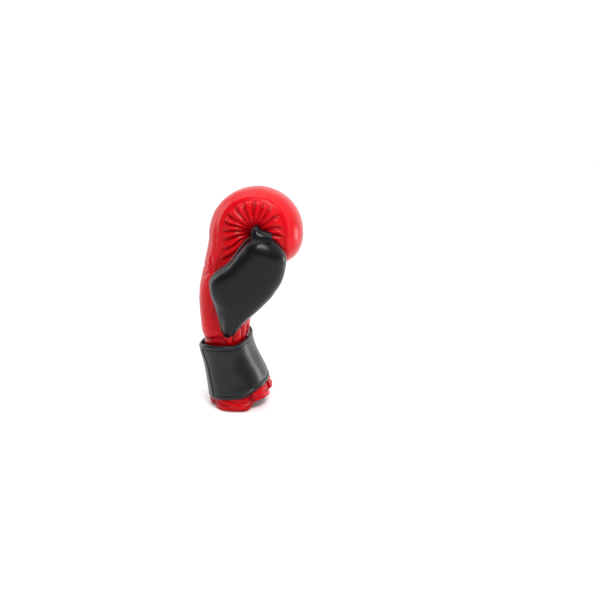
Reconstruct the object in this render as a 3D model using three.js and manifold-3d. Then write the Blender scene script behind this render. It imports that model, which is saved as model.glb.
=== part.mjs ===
// A left-hand boxing glove with a hook-and-loop wrist strap, standing upright on the hem of its cuff.
// Units are millimetres. +Z is up, +X is the way the palm faces and -Y is the thumb's side.
// The origin is the centre of the hand opening, on the plane that the hem stands on.
import * as THREE from "three";
import { mergeVertices } from "three/addons/utils/BufferGeometryUtils.js";
import Module from "manifold-3d";

const wasm = await Module();
wasm.setup();
const { lerp, clamp } = THREE.MathUtils;
const RAD = Math.PI / 180;

// ---------------------------------------------------------------- driving dimensions

const GAP = 0.3; // air between neighbouring layers and panels
const LEATHER = 1.5; // outer shell
const LINING = 1.0; // cloth inside the hand compartment

const WRIST_Z = 106; // height of the axis on which the padded hand flexes on the cuff
const WRIST_TILT = 9; // degrees that the wrist's plane rises towards the palm
const WRIST_BREAK = 9.5; // degrees of wedge left open on each side of that axis
const KNUCKLE_Z = 220; // the hand compartment starts to curl here
const CURL_RADIUS = 30; // of the compartment's centre line about the grip line
const GRIP_X = 22; // where the grip line lies
const CURL_TURN = 190; // degrees of curl up to the rounded fingertip end
const FINGERTIP_LENGTH = 26; // of that rounded end
const CAVITY_TURN = 165; // degrees of curl that the fingers reach

const ARM_ROWS = 18; // rows of facets from the hem to the knuckles
const CURL_ROWS = 12; // rows of facets round the curl
const COLUMN = 15; // degrees round the tube that a facet takes

const HEM_HEIGHT = 6; // bound edge of the hem
const HEM_PROUD = 0.8; // the binding stands out from the leather and the lining
const SLIT_WIDTH = 11; // opening up the palm side of the cuff

// Heights by their share of the forearm's part, and of the way from the wrist to the knuckles.
const onCuff = (share) => share * WRIST_Z;
const onHand = (share) => lerp(WRIST_Z, KNUCKLE_Z, share);

// Sections of the padded hand tube. Up to the knuckles "z" is a height, past them "turn" is degrees of curl.
// lean: centre's offset towards the palm, tilt: degrees that the section rises towards the palm.
// back, palm, thumb, little: from the centre to the outside.
// backPad, palmPad, sidePad: the whole wall, with leather and lining.
const SECTIONS = [
  { z: 0, lean: 8, tilt: 0, back: 37, palm: 35, thumb: 44, little: 45,
    backPad: 9, palmPad: 7, sidePad: 8 },
  { z: onCuff(0.28), lean: 3, tilt: 10, back: 33, palm: 31, thumb: 41, little: 42,
    backPad: 9, palmPad: 7, sidePad: 8 },
  { z: onCuff(0.7), lean: -8.5, tilt: 13, back: 28.5, palm: 23.5, thumb: 38, little: 39,
    backPad: 8, palmPad: 6, sidePad: 8 },
  { z: WRIST_Z, lean: -9.5, tilt: 9, back: 31, palm: 25, thumb: 38, little: 41,
    backPad: 11, palmPad: 7, sidePad: 8 },
  { z: onHand(0.33), lean: -8, tilt: 2, back: 34, palm: 30, thumb: 40, little: 49,
    backPad: 18, palmPad: 8, sidePad: 9 },
  { z: onHand(0.7), lean: -2, tilt: 0, back: 32, palm: 31, thumb: 45, little: 54,
    backPad: 24, palmPad: 9, sidePad: 11 },
  { z: KNUCKLE_Z, lean: 0, tilt: 0, back: 28, palm: 28, thumb: 48, little: 56,
    backPad: 24, palmPad: 9, sidePad: 12 },
  { turn: 60, lean: 0, tilt: 0, back: 28, palm: 28, thumb: 50, little: 56,
    backPad: 25, palmPad: 9, sidePad: 13 },
  { turn: 120, lean: 0, tilt: 0, back: 28, palm: 28, thumb: 49, little: 54,
    backPad: 24, palmPad: 9, sidePad: 13 },
  { turn: 190, lean: 0, tilt: 0, back: 27, palm: 27, thumb: 44, little: 48,
    backPad: 22, palmPad: 9, sidePad: 14 },
];

// The thumb pad lies on the tube's thumb side. Its axis runs from the wrist up to the thumb's tip.
const THUMB_BASE = [-11.5, -40, WRIST_Z - 9];
const THUMB_TIP = [39.5, -56, KNUCKLE_Z + 7];
const THUMB_ROLL = 8; // degrees that the pad's edge on the back of the hand is turned in
const THUMB_ROUND = 20; // length of the rounded tip
const THUMB_CLEARANCE = 0.8; // between the thumb's inner leather and the hand
// Sections of the pad by their share of the axis: towards the back and the palm, out from the hand and in.
const THUMB_SECTIONS = [
  { at: 0, back: 5, palm: 6, out: 6, in: 5 },
  { at: 0.1, back: 12, palm: 9, out: 12, in: 8 },
  { at: 0.2, back: 21, palm: 14.5, out: 17, in: 10 },
  { at: 0.34, back: 34, palm: 24, out: 22, in: 13 },
  { at: 0.46, back: 41, palm: 32, out: 25, in: 14 },
  { at: 0.54, back: 38.5, palm: 36, out: 26, in: 15 },
  { at: 0.66, back: 28, palm: 39, out: 26, in: 15 },
  { at: 0.82, back: 20.5, palm: 36.5, out: 25, in: 15 },
  { at: 1, back: 14, palm: 29, out: 22, in: 14 },
];
const POCKET_FROM = 0.3; // share of the axis where the thumb pocket starts, and where it ends
const POCKET_TO = 0.9;
const POCKET_HALF_WIDTH = 17;
const POCKET_HALF_DEPTH = 11;
const POCKET_BACKWARD = 5; // of the thumb's axis
const POCKET_OUTWARD = 4;
const TAB_RADIUS = 10; // of the rolled tab on the thumb's tip
const TAB_WIDTH = 22;
const TAB_PROUD = 4;
const THUMB_HOLE = { x: -6, z: onHand(0.39), halfWidth: 13, halfHeight: 18 }; // the way into the thumb

const STRAP_BOTTOM = onCuff(0.16); // distances up the tube
const STRAP_TOP = onCuff(0.82);
const STRAP_BINDING = 4.5; // height of the bound edges
// Layers outside the cuff's leather, as distances from it.
const LOOP_PANEL = [0.3, 1.3];
const HOOK_PANEL = [1.6, 2.6];
const STRAP_BACKING = [2.9, 4.5];
const STRAP_FACING = [4.8, 6.0];
const STRAP_EDGE = [2.7, 6.4];
// Angles round the tube where the strap is sewn down, bends, and ends: palm, thumb's side, back.
const STRAP_SEWN = 320;
const STRAP_ROOT = 302;
const STRAP_BEND_PALM = 226;
const STRAP_BEND_BACK = 140;
const STRAP_END = 48;

const SPINE_X = GRIP_X - CURL_RADIUS;
const along = (turn) => KNUCKLE_Z + turn * RAD * CURL_RADIUS; // distance up the tube at a turn of the curl
const CURL_END = along(CURL_TURN);
const TIP_END = CURL_END + FINGERTIP_LENGTH;

// All panels share these rows, so that the facets of neighbouring layers stay parallel.
const ROWS = [];
for (let k = 0; k < ARM_ROWS; k++) ROWS.push((k * KNUCKLE_Z) / ARM_ROWS);
for (let k = 0; k < CURL_ROWS; k++) ROWS.push(along((k * CURL_TURN) / CURL_ROWS));
for (const turn of [0, 18, 36, 54, 72]) ROWS.push(CURL_END + FINGERTIP_LENGTH * Math.sin(turn * RAD));
const rowNear = (s) => ROWS.reduce((best, row) => (Math.abs(row - s) < Math.abs(best - s) ? row : best));

const PALM_CREASE = rowNear(KNUCKLE_Z - 8); // seam between the palm and the inside of the fingers
const KNUCKLE_FROM = rowNear(KNUCKLE_Z - 12); // the foam blocks meet here
const FINGER_FROM = rowNear(along(88));
const CAVITY_END = rowNear(along(CAVITY_TURN));
const CAP_FROM = rowNear(CURL_END + 0.8 * FINGERTIP_LENGTH); // the cap over the fingertip end

// ---------------------------------------------------------------- surfaces of the padded tube

// A value at position s by a cubic through keys that list their own positions.
function smoothThrough(keys, name, s) {
  const last = keys.length - 1;
  let i = 0;
  while (i < last - 1 && s > keys[i + 1].s) i++;
  const slope = (k) => {
    const a = keys[Math.max(0, k - 1)];
    const b = keys[Math.min(last, k + 1)];
    return (b[name] - a[name]) / (b.s - a.s);
  };
  const span = keys[i + 1].s - keys[i].s;
  const t = THREE.MathUtils.clamp((s - keys[i].s) / span, 0, 1);
  const h = t * t * (3 - 2 * t);
  const bend = span * t * (1 - t) * (slope(i) * (1 - t) - slope(i + 1) * t);
  return keys[i][name] * (1 - h) + keys[i + 1][name] * h + bend;
}

const tubeKeys = SECTIONS.map((k) => ({ ...k, s: k.turn === undefined ? k.z : along(k.turn) }));
const section = (name, s) => smoothThrough(tubeKeys, name, s);

// Centre of the tube at distance s, and the direction out through the back of the hand.
function spine(s) {
  const turn = Math.max(0, s - KNUCKLE_Z) / CURL_RADIUS - section("tilt", s) * RAD;
  const out = new THREE.Vector3(-Math.cos(turn), 0, Math.sin(turn));
  if (s <= KNUCKLE_Z) return { centre: new THREE.Vector3(SPINE_X + section("lean", s), 0, s), out };
  return { centre: new THREE.Vector3(GRIP_X, 0, KNUCKLE_Z).addScaledVector(out, CURL_RADIUS), out };
}

const power = (x, p) => Math.sign(x) * Math.abs(x) ** p;

// A layer is a distance under the outside, or a distance out from the hand space.
const under = (mm) => ({ mm });
const fromSpace = (mm) => ({ mm, space: true });
const FOAM_DEPTH = LEATHER + 0.4; // where the foam starts
const FOAM = [under(FOAM_DEPTH), fromSpace(LINING + GAP)];

// Exponent of a section's rounded outline: 2 is an ellipse, more is boxier.
const boxiness = (s, backSide) =>
  backSide ? 2.3 : 2.3 + 0.6 * THREE.MathUtils.smoothstep(s, WRIST_Z, KNUCKLE_Z);

// A point of a layer at an angle round the tube: 0 is the little finger's side, 90 the back,
// 180 the thumb's side and 270 the palm.
function tubePoint(s, angle, layer) {
  const c = Math.cos(angle * RAD);
  const n = Math.sin(angle * RAD);
  const inset = layer.space ? 0 : layer.mm;
  const share = Math.max(0, s - CURL_END) / FINGERTIP_LENGTH;
  const { centre, out } = spine(s - share * inset); // nested rounded ends
  const round = Math.sqrt(Math.max(0, 1 - share * share));
  let side = section(c > 0 ? "little" : "thumb", s) - inset;
  let across = section(n > 0 ? "back" : "palm", s) - inset;
  if (layer.space) {
    side += layer.mm - section("sidePad", s);
    across += layer.mm - section(n > 0 ? "backPad" : "palmPad", s);
  }
  const p = 2 / boxiness(s, n > 0);
  return centre
    .add(new THREE.Vector3(0, side * round * power(c, p), 0))
    .addScaledVector(out, across * round * power(n, p));
}

// ---------------------------------------------------------------- closed solids

// Drops faces that merging made empty, and turns the faces outwards.
function closedGeometry(positions) {
  const soup = new THREE.BufferGeometry();
  soup.setAttribute("position", new THREE.Float32BufferAttribute(positions, 3));
  const merged = mergeVertices(soup, 1e-3);
  const corners = merged.attributes.position;
  const index = merged.index.array;
  const [a, b, c] = [new THREE.Vector3(), new THREE.Vector3(), new THREE.Vector3()];
  const kept = [];
  let volume = 0;
  for (let i = 0; i < index.length; i += 3) {
    const [ia, ib, ic] = index.slice(i, i + 3);
    if (ia === ib || ib === ic || ic === ia) continue;
    kept.push(ia, ib, ic);
    a.fromBufferAttribute(corners, ia);
    b.fromBufferAttribute(corners, ib);
    c.fromBufferAttribute(corners, ic);
    volume += a.dot(b.cross(c));
  }
  if (volume < 0) kept.reverse();
  merged.setIndex(kept);
  return merged;
}

// A closed slab through point(i, j, face): i runs along, j round, and face 0 and 1 are its two skins.
// A wrapped slab closes on itself round j and has no side walls there.
function slab(point, ni, nj, wrapped = false) {
  const positions = [];
  const quad = (corners) => {
    for (const k of [0, 1, 2, 0, 2, 3]) positions.push(...corners[k].toArray());
  };
  const skin = (face) =>
    Array.from({ length: ni + 1 }, (_, i) =>
      Array.from({ length: nj + 1 }, (_, j) => point(i, wrapped ? j % nj : j, face)),
    );
  const [outer, inner] = [skin(0), skin(1)];
  for (let i = 0; i < ni; i++)
    for (let j = 0; j < nj; j++) {
      quad([outer[i][j], outer[i + 1][j], outer[i + 1][j + 1], outer[i][j + 1]]);
      quad([inner[i][j], inner[i][j + 1], inner[i + 1][j + 1], inner[i + 1][j]]);
    }
  for (const i of [0, ni])
    for (let j = 0; j < nj; j++) {
      const face = [outer[i][j], outer[i][j + 1], inner[i][j + 1], inner[i][j]];
      quad(i ? face.reverse() : face);
    }
  if (!wrapped)
    for (const j of [0, nj])
      for (let i = 0; i < ni; i++) {
        const face = [outer[i][j], inner[i][j], inner[i + 1][j], outer[i + 1][j]];
        quad(j ? face.reverse() : face);
      }
  return closedGeometry(positions);
}

const columnGrid = Array.from({ length: 3 * (360 / COLUMN) }, (_, k) => k * COLUMN - 360);
const gridBetween = (grid, from, to, margin) => [
  from,
  ...grid.filter((g) => g > from + margin && g < to - margin),
  to,
];

// A panel of the padded tube between two distances along it, two angles and two layers.
// angle is a pair, or a function that gives the pair at a distance.
function panel({ from, to, angle, layers }) {
  const rows = gridBetween(ROWS, from, to, 1);
  const ranges = rows.map((s) => (Array.isArray(angle) ? angle : angle(s)));
  const first = Math.min(...ranges.map((range) => range[0]));
  const last = Math.max(...ranges.map((range) => range[1]));
  const columns = gridBetween(columnGrid, first, last, 0.1);
  const point = (i, j, face) => tubePoint(rows[i], clamp(columns[j], ...ranges[i]), layers[face]);
  return slab(point, rows.length - 1, columns.length - 1, last - first >= 360);
}

// The tube filled from a layer to its centre line.
function filledTube({ from, to, layer }) {
  const rows = gridBetween(ROWS, from, to, 1);
  const point = (i, j, face) => (face ? spine(rows[i]).centre : tubePoint(rows[i], j * COLUMN, layer));
  return slab(point, rows.length - 1, 360 / COLUMN, true);
}

function toSolid(geometry) {
  return new wasm.Manifold(
    new wasm.Mesh({
      numProp: 3,
      vertProperties: geometry.attributes.position.array,
      triVerts: new Uint32Array(geometry.index.array),
    }),
  );
}

function toGeometry(solid) {
  const mesh = solid.getMesh();
  const geometry = new THREE.BufferGeometry();
  geometry.setAttribute("position", new THREE.Float32BufferAttribute(mesh.vertProperties, 3));
  geometry.setIndex(new THREE.Uint32BufferAttribute(mesh.triVerts, 1));
  return geometry;
}

// The largest separate body of a cut solid: a cut can leave slivers.
function largestBody(solid) {
  return solid.decompose().reduce((best, body) => (body.volume() > best.volume() ? body : best));
}

const cut = (geometry, ...tools) =>
  toGeometry(largestBody(tools.reduce((rest, tool) => rest.subtract(tool), toSolid(geometry))));

// Three.js geometries repeat the vertices of their edges; this merges them.
function mergedSolid(geometry) {
  geometry.deleteAttribute("normal");
  geometry.deleteAttribute("uv");
  return toSolid(mergeVertices(geometry, 1e-4));
}

// ---------------------------------------------------------------- the scene

const bodies = {};
function body(name) {
  bodies[name] = new THREE.Group();
  bodies[name].name = name;
  return bodies[name];
}

const RED_LEATHER = { color: 0xc4121f, roughness: 0.3 };
const BLACK_LEATHER = { color: 0x26262a, roughness: 0.42 };
const STRAP_LEATHER = { color: 0x2c2c30, roughness: 0.5 };
const WEBBING = { color: 0x1c1c1f, roughness: 0.9 };
const FOAM_CORE = { color: 0xd9d2bf, roughness: 0.95 };
const CLOTH = { color: 0x2b2b30, roughness: 0.9 };

function add(parent, name, geometry, finish) {
  const mesh = new THREE.Mesh(geometry, new THREE.MeshStandardMaterial({ ...finish, metalness: 0 }));
  mesh.name = name;
  bodies[parent].add(mesh);
  return mesh;
}

const cuff = body("cuff");
const hand = body("hand");
const thumb = body("thumb");
const strapPalm = body("strap_palm");
const strapThumb = body("strap_thumb");
const strapBack = body("strap_back");

// ---------------------------------------------------------------- wrist break

const SEAM_GAP = 0.5; // degrees between neighbouring panels
const wristAxis = spine(WRIST_Z).centre;

// A prism along Y from its outline in the wrist's tilted plane: x towards the palm, z up the arm.
function wristPrism(points) {
  const reach = 100;
  const outline = new THREE.Shape(points.map(([x, z]) => new THREE.Vector2(x, z)));
  const prism = new THREE.ExtrudeGeometry(outline, { depth: 2 * reach, bevelEnabled: false });
  prism.rotateX(Math.PI / 2).translate(0, reach, 0);
  prism.rotateY(-WRIST_TILT * RAD).translate(wristAxis.x, 0, wristAxis.z);
  return mergedSolid(prism);
}

const REACH = 90;
const rise = REACH * Math.tan(WRIST_BREAK * RAD);
const aboveWrist = wristPrism([[-REACH, 0], [REACH, 0], [REACH, REACH], [-REACH, REACH]]);
const belowBreak = wristPrism([[-REACH, -REACH], [REACH, -REACH], [REACH, rise], [0, GAP], [-REACH, rise]]);

// ---------------------------------------------------------------- cuff

const CUFF_FROM = HEM_HEIGHT + GAP;
const PAST_WRIST = WRIST_Z + 10; // cut back to the wrist's plane afterwards
const SEAM_THUMB = 190;
const SEAM_LITTLE = 350;

// Half of the slit's angle at distance s, so that its width stays the same.
const slitAngle = (s) =>
  Math.asin((SLIT_WIDTH / 2 / section("thumb", s)) ** (boxiness(s, false) / 2)) / RAD;
const thumbFlap = (s) => [SEAM_THUMB + SEAM_GAP, 270 - slitAngle(s)];
const littleFlap = (s) => [270 + slitAngle(s), SEAM_LITTLE - SEAM_GAP];
const openRing = (s) => [270 + slitAngle(s), 630 - slitAngle(s)];

function cuffPanel(name, angle, layers, finish) {
  const shape = panel({ from: CUFF_FROM, to: PAST_WRIST, angle, layers });
  add("cuff", name, cut(shape, aboveWrist), finish);
}

const SHELL = [under(0), under(LEATHER)];
const LINER = [fromSpace(LINING), fromSpace(0)];
cuffPanel("cuff_back_leather", [SEAM_LITTLE - 360, SEAM_THUMB], SHELL, RED_LEATHER);
cuffPanel("cuff_thumb_flap_leather", thumbFlap, SHELL, RED_LEATHER);
cuffPanel("cuff_little_flap_leather", littleFlap, SHELL, RED_LEATHER);
cuffPanel("cuff_back_pad", [SEAM_LITTLE - 360, SEAM_THUMB], FOAM, FOAM_CORE);
cuffPanel("cuff_thumb_flap_pad", thumbFlap, FOAM, FOAM_CORE);
cuffPanel("cuff_little_flap_pad", littleFlap, FOAM, FOAM_CORE);
cuffPanel("cuff_lining", openRing, LINER, CLOTH);

add(
  "cuff",
  "hem_binding",
  panel({ from: 0, to: HEM_HEIGHT, angle: openRing, layers: [under(-HEM_PROUD), fromSpace(-HEM_PROUD)] }),
  RED_LEATHER,
);

// Elastic that bridges the slit, halfway through the wall.
const gussetAngle = (s) => [270 - slitAngle(s) + 2 * SEAM_GAP, 270 + slitAngle(s) - 2 * SEAM_GAP];
const GUSSET_LAYERS = [under(LEATHER + GAP), under(2 * LEATHER + GAP)];
cuffPanel("slit_gusset", gussetAngle, GUSSET_LAYERS, WEBBING);

// ---------------------------------------------------------------- hand

const HAND_FROM = WRIST_Z - 8; // cut back to the wrist break afterwards

// Half of the palm's angle: the back's leather reaches round the sides of the fist.
const palmHalfAngle = (s) => lerp(75, 45, THREE.MathUtils.smoothstep(s, WRIST_Z, KNUCKLE_Z));
const backAngles = (s) => [palmHalfAngle(s) - 90, 270 - palmHalfAngle(s)];
const palmAngles = (s) => [270 - palmHalfAngle(s) + SEAM_GAP, 270 + palmHalfAngle(s) - SEAM_GAP];

// The way from the hand space into the thumb pocket, widened by a margin.
function thumbHole(margin) {
  const bore = new THREE.CylinderGeometry(1, 1, 60, 18);
  bore.scale(THUMB_HOLE.halfWidth + margin, 1, THUMB_HOLE.halfHeight + margin);
  return mergedSolid(bore.translate(THUMB_HOLE.x, -50, THUMB_HOLE.z));
}

function handPanel(name, shape, finish, holeMargin = LINING + GAP) {
  add("hand", name, cut(panel(shape), belowBreak, thumbHole(holeMargin)), finish);
}

handPanel(
  "back_leather",
  { from: HAND_FROM, to: CAP_FROM, angle: backAngles, layers: SHELL },
  RED_LEATHER,
);
handPanel(
  "palm_leather",
  { from: HAND_FROM, to: PALM_CREASE, angle: palmAngles, layers: SHELL },
  RED_LEATHER,
);
handPanel(
  "finger_leather",
  { from: PALM_CREASE + GAP, to: CAP_FROM, angle: palmAngles, layers: SHELL },
  RED_LEATHER,
);
handPanel(
  "fingertip_leather",
  { from: CAP_FROM + GAP, to: TIP_END, angle: [0, 360], layers: SHELL },
  RED_LEATHER,
);

// Foam blocks: the back of the tube, split where the hand bends, and the thinner palm side.
const BACK_SIDE = [SEAM_LITTLE - 360, SEAM_THUMB];
const PALM_SIDE = [SEAM_THUMB + SEAM_GAP, SEAM_LITTLE - SEAM_GAP];

handPanel(
  "back_pad",
  { from: HAND_FROM, to: KNUCKLE_FROM, angle: BACK_SIDE, layers: FOAM },
  FOAM_CORE,
);
const HALF_FOAM = 13; // depth of the outer knuckle layer
handPanel(
  "knuckle_pad_outer",
  {
    from: KNUCKLE_FROM + GAP,
    to: FINGER_FROM,
    angle: [15, 165],
    layers: [under(FOAM_DEPTH), under(HALF_FOAM)],
  },
  FOAM_CORE,
);
handPanel(
  "knuckle_pad_inner",
  {
    from: KNUCKLE_FROM + GAP,
    to: FINGER_FROM,
    angle: [15, 165],
    layers: [under(HALF_FOAM + GAP), fromSpace(LINING + GAP)],
  },
  FOAM_CORE,
);
handPanel(
  "finger_pad",
  { from: FINGER_FROM + GAP, to: CAVITY_END, angle: [15, 165], layers: FOAM },
  FOAM_CORE,
);
for (const [name, angle] of [
  ["fist_thumb_side_pad", [165 + 2 * SEAM_GAP, 225]],
  ["fist_little_side_pad", [-45, 15 - 2 * SEAM_GAP]],
])
  handPanel(name, { from: KNUCKLE_FROM + GAP, to: CAVITY_END, angle, layers: FOAM }, FOAM_CORE);
handPanel(
  "palm_pad",
  { from: HAND_FROM, to: KNUCKLE_FROM, angle: PALM_SIDE, layers: FOAM },
  FOAM_CORE,
);
handPanel(
  "finger_grip_pad",
  { from: KNUCKLE_FROM + GAP, to: CAVITY_END, angle: [225 + SEAM_GAP, 315 - SEAM_GAP], layers: FOAM },
  FOAM_CORE,
);
add(
  "hand",
  "fingertip_pad",
  filledTube({ from: CAVITY_END + GAP, to: TIP_END, layer: under(FOAM_DEPTH) }),
  FOAM_CORE,
);

// The hand compartment's lining, closed at the fingertips.
const liningTube = panel({
  from: HAND_FROM,
  to: CAVITY_END,
  angle: [0, 360],
  layers: LINER,
});
const liningEnd = filledTube({
  from: CAVITY_END - LINING,
  to: CAVITY_END,
  layer: fromSpace(LINING),
});
const lining = toGeometry(toSolid(liningTube).add(toSolid(liningEnd)));
add("hand", "hand_lining", cut(lining, belowBreak, thumbHole(0)), CLOTH);

// ---------------------------------------------------------------- thumb

const base = new THREE.Vector3(...THUMB_BASE);
const tip = new THREE.Vector3(...THUMB_TIP);
const thumbLength = base.distanceTo(tip);
const up = tip.clone().sub(base).normalize();
const palmward = new THREE.Vector3(0, 1, 0).cross(up).normalize().applyAxisAngle(up, THUMB_ROLL * RAD);
const inward = up.clone().cross(palmward);
const thumbKeys = THUMB_SECTIONS.map((k) => ({ ...k, s: k.at }));
const roundShare = THUMB_ROUND / thumbLength;

// A point of the thumb pad, inset from its outside: share of the axis and angle,
// with 90 out from the hand and 180 towards the back of the hand.
function thumbPoint(share, angle, inset) {
  const c = Math.cos(angle * RAD);
  const n = Math.sin(angle * RAD);
  const capped = Math.max(0, share - 1 + roundShare) / roundShare;
  const round = Math.sqrt(Math.max(0, 1 - capped * capped));
  const started = Math.sqrt(Math.min(1, share / 0.06 + 0.02));
  const size = (name) => Math.max(0.5, (smoothThrough(thumbKeys, name, share) * started - inset) * round);
  const at = lerp(inset, thumbLength - inset, share);
  const p = 2 / 2.3;
  return base
    .clone()
    .addScaledVector(up, at)
    .addScaledVector(palmward, power(c, p) * size(c > 0 ? "palm" : "back"))
    .addScaledVector(inward, -power(n, p) * size(n > 0 ? "out" : "in"));
}

function thumbLobe(inset) {
  const [ni, nj] = [13, 18];
  return toSolid(
    slab(
      (i, j, face) => {
        const share = Math.sin((i / ni) * 0.5 * Math.PI) ** 1.2;
        if (face) return base.clone().addScaledVector(up, lerp(inset, thumbLength - inset, share));
        return thumbPoint(share, (360 * j) / nj, inset);
      },
      ni,
      nj,
      true,
    ),
  );
}

// The hand's outside grown by a distance: what the thumb is fitted round.
const handGrown = (mm) =>
  toSolid(filledTube({ from: STRAP_TOP - 20, to: TIP_END, layer: under(-mm) }));

// The thumb pocket, an ellipsoid on the thumb's axis, grown by a distance.
function thumbPocket(mm) {
  const half = ((POCKET_TO - POCKET_FROM) * thumbLength) / 2;
  const pocket = new THREE.SphereGeometry(1, 16, 10);
  pocket.scale(POCKET_HALF_WIDTH + mm, POCKET_HALF_DEPTH + mm, half + mm);
  const axes = new THREE.Matrix4().makeBasis(palmward, inward, up);
  const centre = base.clone().lerp(tip, (POCKET_FROM + POCKET_TO) / 2);
  centre.addScaledVector(palmward, -POCKET_BACKWARD).addScaledVector(inward, -POCKET_OUTWARD);
  return mergedSolid(pocket.applyMatrix4(axes.setPosition(centre)));
}

const clear = THUMB_CLEARANCE;
const lobe = thumbLobe(0);
const lobeInside = thumbLobe(LEATHER);
const lobeFoam = thumbLobe(LEATHER + GAP);
const innerLeather = handGrown(clear + LEATHER);
const hole = thumbHole(0);
const addThumb = (name, solid, finish) => add("thumb", name, toGeometry(largestBody(solid)), finish);

addThumb("thumb_outer_leather", lobe.subtract(lobeInside).subtract(handGrown(clear)), BLACK_LEATHER);
addThumb(
  "thumb_inner_leather",
  lobeFoam.intersect(innerLeather).subtract(handGrown(clear)).subtract(thumbHole(LINING + GAP)),
  BLACK_LEATHER,
);
addThumb(
  "thumb_pad",
  lobeFoam
    .subtract(handGrown(clear + LEATHER + GAP))
    .subtract(thumbPocket(LINING + GAP))
    .subtract(thumbHole(LINING + GAP)),
  FOAM_CORE,
);
addThumb(
  "thumb_lining",
  thumbPocket(LINING)
    .intersect(lobeFoam)
    .subtract(thumbPocket(0))
    .subtract(handGrown(clear + LEATHER + GAP))
    .subtract(hole),
  CLOTH,
);

// The tab that ties the thumb's tip to the side of the fist, rolled over the tip.
const roll = new THREE.CylinderGeometry(TAB_RADIUS, TAB_RADIUS, TAB_WIDTH, 20);
roll.rotateZ(Math.PI / 2).translate(tip.x - 3, tip.y, tip.z - TAB_RADIUS + TAB_PROUD);
addThumb(
  "thumb_tab",
  mergedSolid(roll).subtract(thumbLobe(-GAP)).subtract(handGrown(clear)),
  BLACK_LEATHER,
);

// ---------------------------------------------------------------- strap

add(
  "cuff",
  "loop_panel",
  panel({
    from: STRAP_BOTTOM + 2,
    to: STRAP_TOP - 2,
    angle: [30, STRAP_BEND_BACK],
    layers: LOOP_PANEL.map((mm) => under(-mm)),
  }),
  WEBBING,
);

const BEND_GAP = 0.6; // degrees between two spans of the strap
const spans = [
  { parent: "cuff", name: "root", from: STRAP_ROOT, to: STRAP_SEWN },
  { parent: "strap_palm", name: "palm", from: STRAP_BEND_PALM, to: STRAP_ROOT },
  { parent: "strap_thumb", name: "thumb", from: STRAP_BEND_BACK, to: STRAP_BEND_PALM },
  { parent: "strap_back", name: "back", from: STRAP_END, to: STRAP_BEND_BACK },
];
const strapPart = (from, to, angle, layers, round) =>
  panel({ from, to, angle, layers: layers.map((mm) => under(-mm)) });

for (const { parent, name, from, to } of spans) {
  const angle = [from + BEND_GAP / 2, to - BEND_GAP / 2];
  const low = STRAP_BOTTOM + STRAP_BINDING;
  const high = STRAP_TOP - STRAP_BINDING;
  add(parent, `strap_facing_${name}`, strapPart(low, high, angle, STRAP_FACING), STRAP_LEATHER);
  add(parent, `strap_backing_${name}`, strapPart(low, high, angle, STRAP_BACKING), WEBBING);
  const lower = strapPart(STRAP_BOTTOM, low - GAP, angle, STRAP_EDGE);
  const upper = strapPart(high + GAP, STRAP_TOP, angle, STRAP_EDGE);
  add(parent, `strap_lower_binding_${name}`, lower, STRAP_LEATHER);
  add(parent, `strap_upper_binding_${name}`, upper, STRAP_LEATHER);
}
add(
  "strap_back",
  "strap_end_binding",
  strapPart(STRAP_BOTTOM, STRAP_TOP, [STRAP_END - 4, STRAP_END], STRAP_EDGE),
  STRAP_LEATHER,
);
add(
  "strap_back",
  "hook_panel",
  strapPart(STRAP_BOTTOM + 6, STRAP_TOP - 6, [STRAP_END + 2, STRAP_BEND_BACK - 14], HOOK_PANEL),
  WEBBING,
);

const glove = new THREE.Group();
glove.add(cuff, hand, thumb, strapPalm, strapThumb, strapBack);
export default glove;
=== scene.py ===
"""A left-hand boxing glove: gathered red leather over foam, a black thumb and a black wrist strap.

Sizes are in millimetres and become metres when a mesh is made. The tube of the hand is drawn by the same
rule as the CAD model: s runs up the tube from the hem and round the curled fist, and the angle runs round
it, with 0 on the little finger's side, 90 on the back, 180 on the thumb's side and 270 on the palm.
"""

import math

import bmesh
import bpy
import numpy as np
from mathutils import Matrix, Vector
from mathutils.bvhtree import BVHTree


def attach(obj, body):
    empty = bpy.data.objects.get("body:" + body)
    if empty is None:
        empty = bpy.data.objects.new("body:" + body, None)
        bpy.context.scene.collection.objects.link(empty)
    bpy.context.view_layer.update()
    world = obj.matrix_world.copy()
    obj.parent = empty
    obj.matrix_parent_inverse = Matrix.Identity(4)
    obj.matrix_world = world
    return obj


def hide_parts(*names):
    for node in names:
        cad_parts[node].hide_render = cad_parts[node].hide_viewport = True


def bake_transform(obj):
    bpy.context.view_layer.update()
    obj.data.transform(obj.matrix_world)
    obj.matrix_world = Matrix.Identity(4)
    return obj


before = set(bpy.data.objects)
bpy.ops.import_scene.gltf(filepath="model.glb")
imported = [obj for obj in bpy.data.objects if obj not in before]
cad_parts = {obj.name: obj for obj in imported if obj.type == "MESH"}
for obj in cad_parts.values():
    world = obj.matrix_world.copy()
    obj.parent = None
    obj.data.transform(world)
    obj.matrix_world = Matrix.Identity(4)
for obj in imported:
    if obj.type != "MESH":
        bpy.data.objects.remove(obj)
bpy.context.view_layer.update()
MM = 0.001
RAD = math.pi / 180

# ---------------------------------------------------------------- driving dimensions, as in the CAD model

WRIST_Z, KNUCKLE_Z = 106, 220
CURL_RADIUS, CURL_TURN, GRIP_X = 30, 190, 22
FINGERTIP_LENGTH = 26
SPINE_X = GRIP_X - CURL_RADIUS
CURL_END = KNUCKLE_Z + CURL_TURN * RAD * CURL_RADIUS
CAVITY_END = KNUCKLE_Z + 158 * RAD * CURL_RADIUS  # how far the cloth lining reaches
LINING = 1.0
SLIT_WIDTH = 11
SLIT_CLOSED, SLIT_FULL = 112, 84  # s where the slit ends, and where it reaches its full width
HEM_HEIGHT = 7
HEM_RISE = 11  # of the crumpled hem on the palm's side
LOBE_EDGES = np.array([-32.0, 38, 82, 126, 213, 268, 328, 398])  # angles between the hem's lobes


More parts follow.
